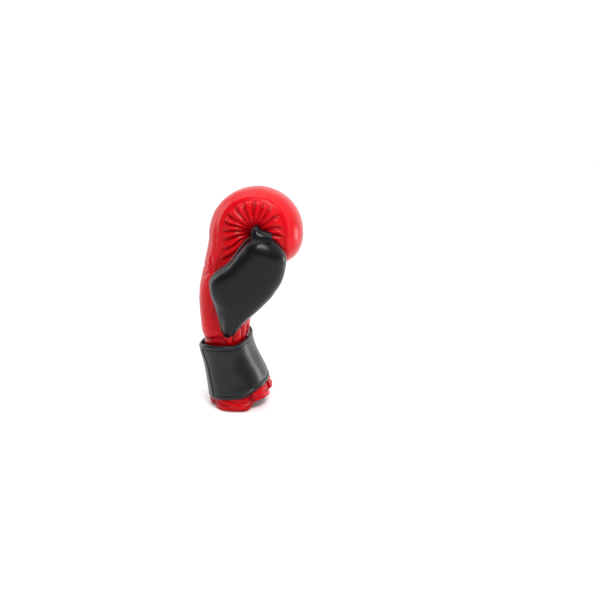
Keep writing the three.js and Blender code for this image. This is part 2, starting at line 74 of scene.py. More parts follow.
def on_cuff(share):
    return share * WRIST_Z


def on_hand(share):
    return WRIST_Z + share * (KNUCKLE_Z - WRIST_Z)


def on_curl(turn):
    return KNUCKLE_Z + turn * RAD * CURL_RADIUS


# s, lean, tilt, back, palm, thumb, little, back wall, palm wall, side wall
SECTIONS = np.array(
    [
        (0, 8, 0, 37, 35, 44, 45, 9, 7, 8),
        (on_cuff(0.28), 3, 10, 33, 31, 41, 42, 9, 7, 8),
        (on_cuff(0.7), -8.5, 13, 28.5, 23.5, 38, 39, 8, 6, 8),
        (WRIST_Z, -9.5, 9, 31, 25, 38, 41, 11, 7, 8),
        (on_hand(0.33), -8, 2, 34, 30, 40, 49, 18, 8, 9),
        (on_hand(0.7), -2, 0, 32, 31, 45, 54, 24, 9, 11),
        (KNUCKLE_Z, 0, 0, 28, 28, 48, 56, 24, 9, 12),
        (on_curl(60), 0, 0, 28, 28, 50, 56, 25, 9, 13),
        (on_curl(120), 0, 0, 28, 28, 49, 54, 24, 9, 13),
        (on_curl(CURL_TURN), 0, 0, 27, 27, 44, 48, 22, 9, 14),
    ],
    float,
)
COLUMNS = ["lean", "tilt", "back", "palm", "thumb", "little", "back_wall", "palm_wall", "side_wall"]

THUMB_BASE = np.array([-11.5, -40, WRIST_Z - 9])
THUMB_TIP = np.array([39.5, -56, KNUCKLE_Z + 7])
THUMB_ROLL = 8
THUMB_ROUND = 20
# share of the axis, towards the back, towards the palm, out from the hand, in
THUMB_SECTIONS = np.array(
    [
        (0, 5, 6, 6, 5),
        (0.1, 12, 9, 12, 8),
        (0.2, 21, 14.5, 17, 10),
        (0.34, 34, 24, 22, 13),
        (0.46, 41, 32, 25, 14),
        (0.54, 38.5, 36, 26, 15),
        (0.66, 28, 39, 26, 15),
        (0.82, 20.5, 36.5, 25, 15),
        (1, 14, 29, 22, 14),
    ],
    float,
)

STRAP_BOTTOM, STRAP_TOP = on_cuff(0.16), on_cuff(0.82)
STRAP_SEWN, STRAP_ROOT, BEND_PALM, BEND_BACK, STRAP_END = 320, 302, 226, 140, 45


# ---------------------------------------------------------------- shapes in numbers


def smoothstep(x, low, high):
    t = np.clip((x - low) / (high - low), 0, 1)
    return t * t * (3 - 2 * t)


def mix(a, b, t):
    return a * (1 - t) + b * t


def smooth_through(at, values, s):
    """A cubic through values at their positions."""
    i = np.searchsorted(at[1:-1], s)
    k = np.arange(len(at))
    low, high = np.maximum(k - 1, 0), np.minimum(k + 1, len(at) - 1)
    slope = (values[high] - values[low]) / (at[high] - at[low])
    span = at[i + 1] - at[i]
    t = np.clip((s - at[i]) / span, 0, 1)
    bend = span * t * (1 - t) * (slope[i] * (1 - t) - slope[i + 1] * t)
    return mix(values[i], values[i + 1], t * t * (3 - 2 * t)) + bend


def section(name, s):
    return smooth_through(SECTIONS[:, 0], SECTIONS[:, 1 + COLUMNS.index(name)], s)


def spine(s):
    """Centre of the tube, and the direction out through the back of the hand."""
    turn = np.maximum(0, s - KNUCKLE_Z) / CURL_RADIUS - section("tilt", s) * RAD
    out = np.stack([-np.cos(turn), 0 * turn, np.sin(turn)], -1)
    straight = np.stack([SPINE_X + section("lean", s), 0 * s, s], -1)
    curled = np.array([GRIP_X, 0, KNUCKLE_Z]) + out * CURL_RADIUS
    return np.where((s <= KNUCKLE_Z)[..., None], straight, curled), out


def power(x, p):
    return np.sign(x) * np.abs(x) ** p


def tube(s, angle, lift=0.0, through=0.0):
    """Points of the padded tube: lift is the height over its outside, through a share of the wall's depth."""
    s, angle, lift, through = np.broadcast_arrays(
        np.asarray(s, float), np.asarray(angle, float), lift, through
    )
    c, n = np.cos(angle * RAD), np.sin(angle * RAD)
    share = np.maximum(0, s - CURL_END) / FINGERTIP_LENGTH
    centre, out = spine(s + share * lift)
    rounding = np.sqrt(np.maximum(0, 1 - share**2))
    side = np.where(c > 0, section("little", s), section("thumb", s))
    side = side + lift - through * section("side_wall", s)
    wall = np.where(n > 0, section("back_wall", s), section("palm_wall", s))
    across = np.where(n > 0, section("back", s), section("palm", s)) + lift - through * wall
    p = 2 / np.where(n > 0, 2.3, 2.3 + 0.6 * smoothstep(s, WRIST_Z, KNUCKLE_Z))
    points = centre + out * (across * rounding * power(n, p))[..., None]
    points[..., 1] += side * rounding * power(c, p)
    return points


LATTICE = np.random.default_rng(7).random((4, 16, 16, 16)) * 2 - 1


def wander(points, scale, layer=0):
    """Smooth random values from -1 to 1 that change over about the given length."""
    p = np.asarray(points) / scale
    base = np.floor(p).astype(int)
    t = p - base
    t = t * t * (3 - 2 * t)
    total = 0
    for corner in np.ndindex(2, 2, 2):
        weight = np.prod([t[..., k] if corner[k] else 1 - t[..., k] for k in range(3)], axis=0)
        index = [(base[..., k] + corner[k]) % 16 for k in range(3)]
        total = total + weight * LATTICE[layer][index[0], index[1], index[2]]
    return total


def normals_of(points):
    """Outward normals of a grid of points whose rows run up the tube and whose columns run round it."""
    along = np.gradient(points, axis=0)
    across = np.gradient(points, axis=1)
    n = np.cross(across, along)
    length = np.linalg.norm(n, axis=-1, keepdims=True)
    return n / np.maximum(length, 1e-9)


def bump(x, width):
    return np.exp(-((x / width) ** 2))


# ---------------------------------------------------------------- meshes


def mesh_object(name, points, faces, colour=None):
    """A smooth mesh from points in millimetres. colour is a value per point that its material may read:
    painted shade in creases and hollows, and darker seam lines.
    """
    mesh = bpy.data.meshes.new(name)
    mesh.from_pydata((np.asarray(points) * MM).tolist(), [], faces)
    # The per-point value is stored for the leather to darken by: painted shade in creases, darker seams.
    mesh.attributes.new("crease_shade_and_dark_seams", "FLOAT", "POINT").data.foreach_set(
        "value", np.zeros(len(points)) if colour is None else np.asarray(colour, float).ravel()
    )
    obj = bpy.data.objects.new(name, mesh)
    bpy.context.collection.objects.link(obj)
    mesh.polygons.foreach_set("use_smooth", [True] * len(mesh.polygons))
    return obj


def grid_faces(ni, nj, wrap_columns=False, offset=0):
    i, j = np.meshgrid(np.arange(ni - 1), np.arange(nj - (not wrap_columns)), indexing="ij")
    a = i * nj + j
    b = i * nj + (j + 1) % nj
    c = (i + 1) * nj + (j + 1) % nj
    d = (i + 1) * nj + j
    return (np.stack([a, b, c, d], -1).reshape(-1, 4) + offset).tolist()


def grid_object(name, points, colour=None, keep=None, wrap_columns=False):
    """A surface through a grid of points. keep is a mask of the points whose faces stay."""
    ni, nj = points.shape[:2]
    faces = grid_faces(ni, nj, wrap_columns)
    if keep is not None:
        kept = keep.ravel()
        faces = [f for f in faces if all(kept[v] for v in f)]
    return mesh_object(name, points.reshape(-1, 3), faces, None if colour is None else colour.ravel())


def finish_mesh(obj, *modifiers):
    """Merges doubled points, applies modifiers in turn, and turns the faces outwards."""
    bm = bmesh.new()
    bm.from_mesh(obj.data)
    bmesh.ops.remove_doubles(bm, verts=bm.verts, dist=0.02 * MM)
    bmesh.ops.dissolve_degenerate(bm, dist=0.002 * MM, edges=bm.edges)
    loose = [v for v in bm.verts if not v.link_faces]
    bmesh.ops.delete(bm, geom=loose, context="VERTS")
    bmesh.ops.recalc_face_normals(bm, faces=bm.faces)
    bm.to_mesh(obj.data)
    bm.free()
    for kind, settings in modifiers:
        modifier = obj.modifiers.new(kind, kind)
        for key, value in settings.items():
            setattr(modifier, key, value)
    if modifiers:
        depsgraph = bpy.context.evaluated_depsgraph_get()
        result = bpy.data.meshes.new_from_object(obj.evaluated_get(depsgraph))
        obj.modifiers.clear()
        obj.data = result
    obj.data.polygons.foreach_set("use_smooth", [True] * len(obj.data.polygons))
    return obj


def shell_thickness(mm):
    return ("SOLIDIFY", {"thickness": mm * MM, "offset": -1.0, "use_even_offset": False})


def closed_loft(name, rings, colour=None):
    """A closed solid through rings of points, each ring closed and the ends capped."""
    ni, nj = rings.shape[:2]
    faces = grid_faces(ni, nj, wrap_columns=True)
    faces.append(list(range(nj)))
    faces.append([(ni - 1) * nj + k for k in reversed(range(nj))])
    return mesh_object(name, rings.reshape(-1, 3), faces, colour)


def tube_along(name, path, radius):
    """A round piping along a path, tapered at its ends."""
    tangent = np.gradient(path, axis=0)
    tangent /= np.linalg.norm(tangent, axis=1, keepdims=True)
    side = np.cross(tangent, [0, 1.0, 0])
    side /= np.linalg.norm(side, axis=1, keepdims=True)
    up = np.cross(side, tangent)
    share = np.linspace(-1, 1, len(path))
    width = (radius * np.sqrt(1.02 - share**8))[:, None, None]
    turn = np.linspace(0, 2 * math.pi, 12, endpoint=False)[None, :, None]
    rings = path[:, None] + width * (side[:, None] * np.cos(turn) + up[:, None] * np.sin(turn))
    return finish_mesh(closed_loft(name, rings))


# ---------------------------------------------------------------- materials


class Nodes:
    """Short names for building one material's nodes."""

    def __init__(self, name):
        self.material = bpy.data.materials.new(name)
        self.material.use_nodes = True
        self.tree = self.material.node_tree
        self.shader = self.tree.nodes["Principled BSDF"]
        self.place = self.add("ShaderNodeTexCoord").outputs["Object"]

    def add(self, kind, **settings):
        node = self.tree.nodes.new(kind)
        for key, value in settings.items():
            setattr(node, key, value)
        return node

    def link(self, a, b):
        self.tree.links.new(a, b)

    def set(self, **values):
        for key, value in values.items():
            self.shader.inputs[key.replace("_", " ")].default_value = value

    def noise(self, scale_mm, detail):
        node = self.add("ShaderNodeTexNoise")
        node.inputs["Scale"].default_value = 1 / (scale_mm * MM)
        node.inputs["Detail"].default_value = detail
        self.link(self.place, node.inputs["Vector"])
        return node.outputs["Fac"]

    def cells(self, scale_mm):
        node = self.add("ShaderNodeTexVoronoi", feature="SMOOTH_F1")
        node.inputs["Scale"].default_value = 1 / (scale_mm * MM)
        self.link(self.place, node.inputs["Vector"])
        return node.outputs["Distance"]

    def ramp(self, value, low, high, position=(0.0, 1.0)):
        node = self.add("ShaderNodeValToRGB")
        node.color_ramp.elements[0].position, node.color_ramp.elements[1].position = position
        node.color_ramp.elements[0].color = (*low, 1)
        node.color_ramp.elements[1].color = (*high, 1)
        self.link(value, node.inputs["Fac"])
        return node.outputs["Color"]

    def span(self, value, low, high):
        node = self.add("ShaderNodeMapRange")
        node.inputs["To Min"].default_value, node.inputs["To Max"].default_value = low, high
        self.link(value, node.inputs["Value"])
        return node.outputs["Result"]

    def blend_colours(self, factor, a, b):
        node = self.add("ShaderNodeMix", data_type="RGBA")
        self.link(factor, node.inputs["Factor"])
        for socket, colour in ((node.inputs[6], a), (node.inputs[7], b)):
            if isinstance(colour, tuple):
                socket.default_value = (*colour, 1)
            else:
                self.link(colour, socket)
        return node.outputs[2]

    def attribute(self, name):
        return self.add("ShaderNodeAttribute", attribute_name=name).outputs["Fac"]

    def bumps(self, *layers):
        """layers are (height, strength, distance in mm), stacked."""
        previous = None
        for height, strength, distance in layers:
            node = self.add("ShaderNodeBump")
            node.inputs["Strength"].default_value = strength
            node.inputs["Distance"].default_value = distance * MM
            self.link(height, node.inputs["Height"])
            if previous is not None:
                self.link(previous, node.inputs["Normal"])
            previous = node.outputs["Normal"]
        self.link(previous, self.shader.inputs["Normal"])


def leather(name, colour, dark, light, roughness, grain_mm, gloss, coat, coat_roughness):
    """Coated leather: fine pebbled grain, faint mottling, painted shade that darkens its creases, and darker
    seam lines.
    """
    m = Nodes(name)
    mottled = m.ramp(m.noise(28, 4), dark, colour, (0.3, 0.62))
    worn = m.blend_colours(m.span(m.noise(9, 5), 0.0, 0.35), mottled, light)
    # Painted shade: the per-point value blends the colour towards a much darker tone in fold valleys and
    # hollows, and along seam lines.
    creased = m.blend_colours(m.attribute("crease_shade_and_dark_seams"), worn, tuple(0.3 * c for c in dark))
    m.link(creased, m.shader.inputs["Base Color"])
    m.link(m.span(m.noise(14, 4), roughness - 0.06, roughness + 0.08), m.shader.inputs["Roughness"])
    m.set(Coat_Weight=coat, Coat_Roughness=coat_roughness, Specular_IOR_Level=gloss)
    m.bumps(
        (m.noise(7, 3), 0.1, 0.5), (m.cells(grain_mm), 0.16, 0.12), (m.noise(grain_mm * 0.6, 2), 0.08, 0.06)
    )
    return m.material


def cloth(name, colour, light, pitch_mm):
    """Plain woven cloth."""
    m = Nodes(name)
    waves = []
    for direction in ("X", "Z"):
        wave = m.add("ShaderNodeTexWave", bands_direction=direction)
        wave.inputs["Scale"].default_value = 0.5 / (pitch_mm * MM) / 10
        wave.inputs["Distortion"].default_value = 0.6
        m.link(m.place, wave.inputs["Vector"])
        waves.append(wave.outputs["Fac"])
    m.link(m.ramp(m.noise(12, 4), colour, light), m.shader.inputs["Base Color"])
    m.set(Roughness=0.9, Sheen_Weight=0.4, Sheen_Roughness=0.5)
    m.bumps((waves[0], 0.35, 0.2), (waves[1], 0.35, 0.2), (m.noise(0.8, 2), 0.2, 0.1))
    return m.material


def fuzz(name, colour, light, pile_mm):
    """Hook or loop tape."""
    m = Nodes(name)
    m.link(m.ramp(m.noise(pile_mm, 5), colour, light, (0.35, 0.7)), m.shader.inputs["Base Color"])
    m.set(Roughness=0.95, Sheen_Weight=0.7, Sheen_Roughness=0.4)
    m.bumps((m.cells(pile_mm), 0.8, 0.5), (m.noise(pile_mm * 0.4, 3), 0.6, 0.2))
    return m.material


def foam(name):
    m = Nodes(name)
    m.link(m.ramp(m.noise(5, 4), (0.55, 0.5, 0.4), (0.75, 0.71, 0.6)), m.shader.inputs["Base Color"])
    m.set(Roughness=0.95)
    m.bumps((m.cells(0.9), 0.5, 0.3), (m.noise(3, 3), 0.3, 0.3))
    return m.material


def thread(name, colour, light):
    m = Nodes(name)
    m.link(m.ramp(m.noise(0.5, 2), colour, light), m.shader.inputs["Base Color"])
    m.set(Roughness=0.6, Sheen_Weight=0.3)
    m.bumps((m.noise(0.25, 2), 0.4, 0.1),)
    return m.material


# Colours are base, dark and light. Then roughness, grain in mm, gloss, coat and the coat's roughness.
RED = leather(
    "red_leather",
    (0.52, 0.001, 0.0055), (0.42, 0.0008, 0.004), (0.58, 0.0025, 0.01),
    0.25, 1.1, 0.09, 0.04, 0.14,
)
BLACK = leather(
    "black_leather",
    (0.0018, 0.0018, 0.0032), (0.0014, 0.0014, 0.0024), (0.004, 0.004, 0.0058),
    0.28, 1.2, 0.16, 0.05, 0.2,
)
STRAP = leather(
    "strap_leather",
    (0.0022, 0.0022, 0.0036), (0.0016, 0.0016, 0.0026), (0.006, 0.006, 0.0078),
    0.33, 0.9, 0.26, 0.08, 0.25,
)
# The piping's grey, far lighter than the black leather, is a painted highlight along the thumb's upper edge.
PIPING_PAINTED_HIGHLIGHT = leather(
    "piping",
    (0.06, 0.059, 0.064), (0.04, 0.039, 0.042), (0.1, 0.097, 0.102),
    0.22, 0.9, 0.6, 0.4, 0.15,
)
CLOTH = cloth("lining_cloth", (0.02, 0.02, 0.023), (0.04, 0.04, 0.045), 0.8)
TAPE = fuzz("hook_and_loop", (0.008, 0.008, 0.009), (0.03, 0.03, 0.033), 0.7)
FOAM = foam("foam")
RED_THREAD = thread("red_thread", (0.35, 0.01, 0.02), (0.55, 0.03, 0.05))
BLACK_THREAD = thread("black_thread", (0.02, 0.02, 0.022), (0.06, 0.06, 0.065))


def dress(obj, material):
    obj.data.materials.clear()
    obj.data.materials.append(material)
    return obj


# ---------------------------------------------------------------- stitches


STITCH_PITCH, STITCH_LENGTH, STITCH_SINK = 3.4, 2.3, 0.1


def stitch_run(name, path, normals, material, radius=0.36):
    """Short threads that dive in at their ends, laid at even steps along a path on a surface."""
    steps = np.linalg.norm(np.diff(path, axis=0), axis=1)
    run = np.concatenate([[0], np.cumsum(steps)])
    count = max(2, int(run[-1] / STITCH_PITCH))
    ring, beads = 6, 7
    turn = np.arange(ring) / ring * 2 * math.pi
    points, faces = [], []
    for k in range(count):
        middle = (k + 0.5) * run[-1] / count
        t = np.linspace(-1, 1, beads)
        at = middle + t * STITCH_LENGTH / 2
        centre = np.stack([np.interp(at, run, path[:, a]) for a in range(3)], -1)
        up = np.array([np.interp(middle, run, normals[:, a]) for a in range(3)])
        up /= np.linalg.norm(up) + 1e-9
        forward = centre[-1] - centre[0]
        forward /= np.linalg.norm(forward) + 1e-9
        side = np.cross(forward, up)
        side /= np.linalg.norm(side) + 1e-9
        width = radius * np.sqrt(np.maximum(0.02, 1 - t**2 * 0.97))
        centre = centre + up * (radius * 0.75 - STITCH_SINK - 1.1 * radius * t[:, None] ** 4)
        rings = (
            centre[:, None]
            + side * (width[:, None] * np.cos(turn))[..., None]
            + up * (width[:, None] * np.sin(turn))[..., None]
        )
        start = len(points) * ring * beads
        points.append(rings.reshape(-1, 3))
        faces += grid_faces(beads, ring, wrap_columns=True, offset=start)
        faces.append([start + v for v in range(ring)])
        faces.append([start + (beads - 1) * ring + v for v in reversed(range(ring))])
    obj = mesh_object(name, np.concatenate(points), faces)
    finish_mesh(obj)
    return dress(obj, material)


# ---------------------------------------------------------------- the red shell

GATHER_X, GATHER_Z = 25, 229  # the point that the folds on each side of the fist run to
GATHER_RADIUS = 36  # from there to the seam of the smooth band


def seam_inset(x, z):
    """How far a point lies inside the seam between the smooth band and the gathered side, in mm."""
    line = np.interp(z, [WRIST_Z, 150, 180, 205, GATHER_Z], [-26, -25, -21, -13, GATHER_X - GATHER_RADIUS])
    below = np.minimum(x - line, GATHER_X + GATHER_RADIUS - x)
    return np.where(z < GATHER_Z, below, GATHER_RADIUS - np.hypot(x - GATHER_X, z - GATHER_Z))


def between(valleys, value):
    """Which two valleys a value lies between, and the rounded hill from 0 to 1 that stands between them."""
    k = np.clip(np.searchsorted(valleys, value) - 1, 0, len(valleys) - 2)
    t = np.clip((value - valleys[k]) / (valleys[k + 1] - valleys[k]), 0, 1)
    return k, t, np.abs(np.sin(math.pi * t)) ** 0.55


def gathers(points, side):
    """Height of the gathered folds: rounded hills between sharp valleys, all running to one point, and the
    painted shade that darkens their valleys.
    """
    x, z = points[..., 0], points[..., 2]
    radius = np.hypot(x - GATHER_X, z - GATHER_Z)
    around = (np.arctan2(z - GATHER_Z, GATHER_X - x) / RAD + 110) % 360 - 110
    around = around + 3.0 * np.sin(radius / 8 + 2 * side) + 3.0 * wander(points, 12, 1)
    rng = np.random.default_rng(21 if side > 0 else 4)
    valleys = [-110.0]
    while valleys[-1] < 255:
        valleys.append(valleys[-1] + rng.uniform(12, 23))
    k, t, hill = between(np.array(valleys), around)
    depth = rng.uniform(0.7, 1.3, len(valleys))[k]
    fine = np.abs(np.sin(2 * math.pi * t + 1.3 * side)) * 0.2 * smoothstep(radius, 34, 16)
    # The hills end as pillows at the seam, and the valleys cut a little way into the smooth band.
    inset = seam_inset(x, z) + 2.6 * (1 - hill)
    size = smoothstep(inset, 0.3, 5.5) * smoothstep(radius, 3, 16)
    size = size * mix(0.55, 1.0, np.clip(radius / 34, 0, 1))
    size = size * smoothstep(z, 172, 200) * smoothstep(around, 250, 232) * smoothstep(around, -72, -50)
    height = np.maximum(5.2 * size * depth * (hill + fine - 0.34), -1.3)
    # The second value is painted shade: darkest in the valleys and at the point where the folds meet.
    return height, np.maximum(size * (1 - hill) ** 1.6, 0.35 * smoothstep(radius, 11, 4))


def hem_rise(s, angle):
    """How far the free end of the cuff is pushed up on the palm's side."""
    round_hem = angle % 360
    return HEM_RISE * smoothstep(s, 30, 3) * smoothstep(round_hem, 196, 226) * smoothstep(round_hem, 345, 305)


def half_slit(s, half_width):
    """Half the angle that the palm's slit takes from the tube, and how far it is open there."""
    slit_open = smoothstep(s, SLIT_CLOSED, SLIT_FULL)
    sine = (np.maximum(half_width * slit_open, 1e-6) / section("thumb", s)) ** 1.15
    return np.arcsin(sine) / RAD, slit_open


def hem_profile():
    """Rows of the shell: up the inside of the hem, round it, then up the outside to the fingertips."""
    inside = [(s, 1.0) for s in (9, 7.5, 6, 4.5, 3, 1.8)]
    edge = [(0.9, 0.97), (0.35, 0.9), (0.05, 0.75), (0, 0.5), (0.05, 0.25), (0.35, 0.1), (0.9, 0.03)]
    arm = [(s, 0.0) for s in np.arange(1.8, KNUCKLE_Z, 1.45)]
    curl = [(s, 0.0) for s in np.linspace(KNUCKLE_Z, CURL_END, 116)]
    tip = [(CURL_END + FINGERTIP_LENGTH * math.sin(t), 0.0) for t in np.linspace(0, math.pi / 2, 24)[1:]]
    return np.array(inside + edge + arm + curl + tip)


def build_shell():
    rows = hem_profile()
    s = rows[:, :1]
    slit, slit_open = half_slit(s, SLIT_WIDTH / 2)
    lip = np.array([(0.0, 1.0), (0.0, 0.93), (0.0, 0.8), (0.0, 0.5), (0.0, 0.2), (0.0, 0.07)])
    around = np.concatenate([lip[:, 0], np.linspace(0, 1, 206), 1 + lip[::-1, 0]])[None]
    lips = np.concatenate([lip[:, 1], np.zeros(206), lip[::-1, 1]])[None]
    angle = 270 + slit + around * (360 - 2 * slit)
    through = np.maximum(rows[:, 1:], lips * slit_open)
    base = tube(s, angle, 0.0, through * 0.96)
    normal = normals_of(base)
    outside = (through < 0.02).astype(float)

    x, y, z = base[..., 0], base[..., 1], base[..., 2]
    sideways = smoothstep(np.abs(y), 16, 30)
    inset = seam_inset(x, z)
    lift = np.zeros_like(x)
    # crease sums painted shade in the fold valleys, puckers, wrist folds, under the back's overlap and
    # between the hem's lobes, and darker seam lines.
    crease_shade_and_dark_seams = np.zeros_like(x)
    for side in (-1, 1):
        mask = sideways * (y * side > 0)
        height, valley_shade = gathers(base, side)
        lift += mask * height
        crease_shade_and_dark_seams += mask * valley_shade
    above_cuff = smoothstep(s, 104, 122)
    seam = above_cuff * sideways * smoothstep(z, 100, 120)
    gathered = smoothstep(z, 172, 215)
    lift += seam * (-mix(1.1, 0.3, gathered) * bump(inset, 0.9) + 1.8 * gathered * bump(inset + 2.5, 3.4))
    crease_shade_and_dark_seams += mix(0.5, 0.1, gathered) * seam * bump(inset, 0.8)

    # The two sides of the curled palm meet at the middle of the curl.
    palm_middle = smoothstep(-np.sin(angle * RAD), 0.6, 0.95)
    lift += 1.9 * palm_middle * smoothstep(s, 208, 220) * smoothstep(s, 322, 300)

    # The padded back swells a little between its seams, and leather over foam is never quite even.
    lift += outside * smoothstep(s, 110, 140) * (0.7 * wander(base, 38, 2) + 0.3 * wander(base, 14, 3))

    # Small creases run from the thumb's upper corner into the back of the hand.
    corner = np.stack([x + 25, z - 181], -1)
    reach = np.hypot(corner[..., 0], corner[..., 1])
    fan = np.arctan2(corner[..., 1], -corner[..., 0]) / RAD
    puckers = np.abs(np.sin(fan * RAD * 4.5 + 0.25 * np.sin(reach / 3))) ** 0.7 - 0.5
    pucker_size = smoothstep(reach, 22, 5) * smoothstep(reach, 1, 5) * (y < 0) * smoothstep(-y, 5, 14)
    lift += 2.2 * puckers * pucker_size
    # Painted shade in the puckers' valleys.
    crease_shade_and_dark_seams += 0.5 * pucker_size * np.clip(-puckers * 2, 0, 1)

    # Crumpled leather where the wrist bends, most of it on the palm's side.
    palm_side = smoothstep(-np.sin(angle * RAD), -0.2, 0.3)
    at_wrist = smoothstep(s, 78, 90) * smoothstep(s, 136, 114)
    warp = 1.3 * wander(base, 17, 0)
    wrist_fold = np.abs(np.sin(angle * RAD * 7.5 + 0.075 * s + warp)) ** 0.6
    wrist_size = at_wrist * palm_side
    lift += 4.2 * (wrist_fold - 0.22) * wrist_size
    # Painted shade in the valleys of the wrist folds.
    crease_shade_and_dark_seams += wrist_size * (1 - wrist_fold) ** 2
    # On the back the leather of the hand overlaps the cuff in one soft fold, and bulges above it.
    back_side = smoothstep(np.sin(angle * RAD), -0.25, 0.2)
    fold_line = s - 95 - 1.5 * np.sin(angle * RAD * 2 + 0.8)
    soft_fold = -1.7 * bump(fold_line, 1.4) + 1.2 * bump(fold_line - 7, 7)
    lift += back_side * (soft_fold + 0.9 * bump(fold_line + 5, 3))
    lift += back_side * 2.4 * smoothstep(s, 94, 112) * smoothstep(s, 222, 160)
    # Painted shade along the fold and in a band below it, where the hand's leather overlaps the cuff.
    crease_shade_and_dark_seams += back_side * (0.9 * bump(fold_line, 1.2) + 0.5 * smoothstep(s, 95, 88) * smoothstep(s, 60, 84))

    # Under the strap the free end of the cuff is scrunched into lobes with slanting folds across them.
    low = smoothstep(s, 27, 15)
    round_hem = angle % 360
    lobe = between(LOBE_EDGES, round_hem + 0.25 * s)[2]
    lift += outside * low * (5.0 * lobe - 1.6 + 0.9 * wander(base, 9, 2))
    fold = np.abs(np.sin(round_hem * RAD * 4.4 + 0.34 * s + 1.0 * wander(base, 22, 3))) ** 0.6
    lift += outside * low * smoothstep(s, 1, 6) * 2.6 * (fold - 0.6)
    # Painted shade between the lobes and in the folds across them, under the strap.
    crease_shade_and_dark_seams += outside * low * np.maximum((1 - lobe) ** 1.5, 0.8 * np.clip(0.55 - fold, 0, 1) * 2)

    # The turned and stitched hem.
    turned = 0.7 * smoothstep(s, HEM_HEIGHT + 0.8, HEM_HEIGHT - 0.8)
    lift += outside * (turned - 0.6 * bump(s - HEM_HEIGHT - 0.6, 0.9))

    points = base + normal * lift[..., None]
    notch = smoothstep(s, 30, 3) * 4.5 * (1 - lobe) ** 2
    points[..., 2] = np.maximum(points[..., 2] + notch + hem_rise(s, angle), 0.0)
    shell = grid_object("red_shell", points, np.clip(crease_shade_and_dark_seams, 0, 1))
    finish_mesh(shell, shell_thickness(1.2))
    dress(shell, RED)
    return shell, {"points": points, "normals": normals_of(points), "inset": inset, "angle": angle, "s": s}


shell, skin = build_shell()


FOLD_X, FOLD_Z = 25, 217.5
FOLD_HALF_LENGTH = 40.5  # along the knuckles


def build_palm_fold():
    """The folded leather at the centre of the curled fist, where the fingers close on the palm."""
    across_hand = np.linspace(-1, 1, 90)[:, None]
    turn = np.linspace(0, 2 * math.pi, 60, endpoint=False)[None]
    flare = smoothstep(np.abs(across_hand), 0.5, 1)
    closed = np.sqrt(np.maximum(0, 1 - np.abs(across_hand) ** 9))
    pleats = 1 + 0.07 * np.sin(5 * turn + 2 * across_hand) * flare
    half_width, half_height = 6.8 + 2.4 * flare, 7.0 + 1.0 * flare
    x = FOLD_X + half_width * closed * pleats * np.cos(turn)
    z = FOLD_Z + half_height * closed * pleats * np.sin(turn)
    rings = np.stack([x, FOLD_HALF_LENGTH * across_hand + 0 * turn, z], -1)
    # The whole fold gets a fixed value of 0.55: painted shade, a darker red for the hollow of the curled
    # fist.
    fold = closed_loft("palm_fold_leather", rings, np.full(rings.shape[:2], 0.55))
    finish_mesh(fold)
    return dress(fold, RED)


palm_fold = build_palm_fold()


def path_where(field, rows, columns):
    """The line on the shell where a field crosses zero, one point a row, with its normals."""
    points, normals = skin["points"], skin["normals"]
    path, ups = [], []
    for i in rows:
        f = field[i, columns]
        hits = np.nonzero(f[:-1] * f[1:] <= 0)[0]
        if not len(hits):
            continue
        k = hits[0]
        t = f[k] / (f[k] - f[k + 1] + 1e-12)
        j = columns[k]
        path.append(mix(points[i, j], points[i, columns[k + 1]], t))
        ups.append(mix(normals[i, j], normals[i, columns[k + 1]], t))
    return np.array(path), np.array(ups)


SAMPLE_ROW = 60  # a row of the shell, at the cuff, whose angles tell one column from another
SEAM_STITCHES_FROM, SEAM_STITCHES_TO = 124, 184
SEAM_STITCH_OFFSET = 1.9  # mm from the seam


def side_columns(low, high):
    middle = skin["angle"][SAMPLE_ROW] % 360
    return np.nonzero((middle > low) & (middle < high))[0]


def add_shell_stitches():
    s = skin["s"][:, 0]
    rows = np.nonzero((s > SEAM_STITCHES_FROM) & (s < SEAM_STITCHES_TO))[0]
    outside_seam = skin["inset"] + SEAM_STITCH_OFFSET
    pieces = []
    for name, low, high in (("thumb_side", 100, 215), ("little_side", 0.5, 85)):
        columns = side_columns(low, high)
        path, ups = path_where(outside_seam, rows, columns)
        pieces.append(stitch_run(f"seam_stitches_{name}", path, ups, RED_THREAD))
    return pieces


for piece in add_shell_stitches():
    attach(piece, "hand")


def add_hem_stitches():
    s = skin["s"][:, 0]
    row = len(s) - np.argmax(s[::-1] < HEM_HEIGHT - 1.6)
    columns = np.arange(8, skin["points"].shape[1] - 8)
    return stitch_run("hem_stitches", skin["points"][row, columns], skin["normals"][row, columns], RED_THREAD)


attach(add_hem_stitches(), "cuff")

# ---------------------------------------------------------------- lining and gusset


def build_lining():
    s = np.concatenate([np.arange(3.5, KNUCKLE_Z, 3.0), np.linspace(KNUCKLE_Z, CAVITY_END, 26)])[:, None]
    slit = half_slit(s, SLIT_WIDTH / 2 + 1)[0]
    angle = 270 + slit + np.linspace(0, 1, 91)[None] * (360 - 2 * slit)
    points = tube(s, angle, LINING, 1.0)
    points = points - normals_of(points) * (0.5 + 0.4 * wander(points, 16, 2))[..., None]
    points[..., 2] += hem_rise(s, angle)
    end = points[-1:].mean(axis=1, keepdims=True) * np.ones((1, points.shape[1], 1))
    points = np.concatenate([points, mix(points[-1:], end, 0.6), end])
    # An oval in the lining's thumb side stays open, where the thumb joins.
    hole = np.hypot((points[..., 0] + 6) / 13, (points[..., 2] - on_hand(0.39)) / 18)
    keep = ~((hole < 1) & (points[..., 1] < 0))
    lining = grid_object("hand_cloth", points, keep=keep)
    finish_mesh(lining, shell_thickness(0.8))
    return dress(lining, CLOTH)


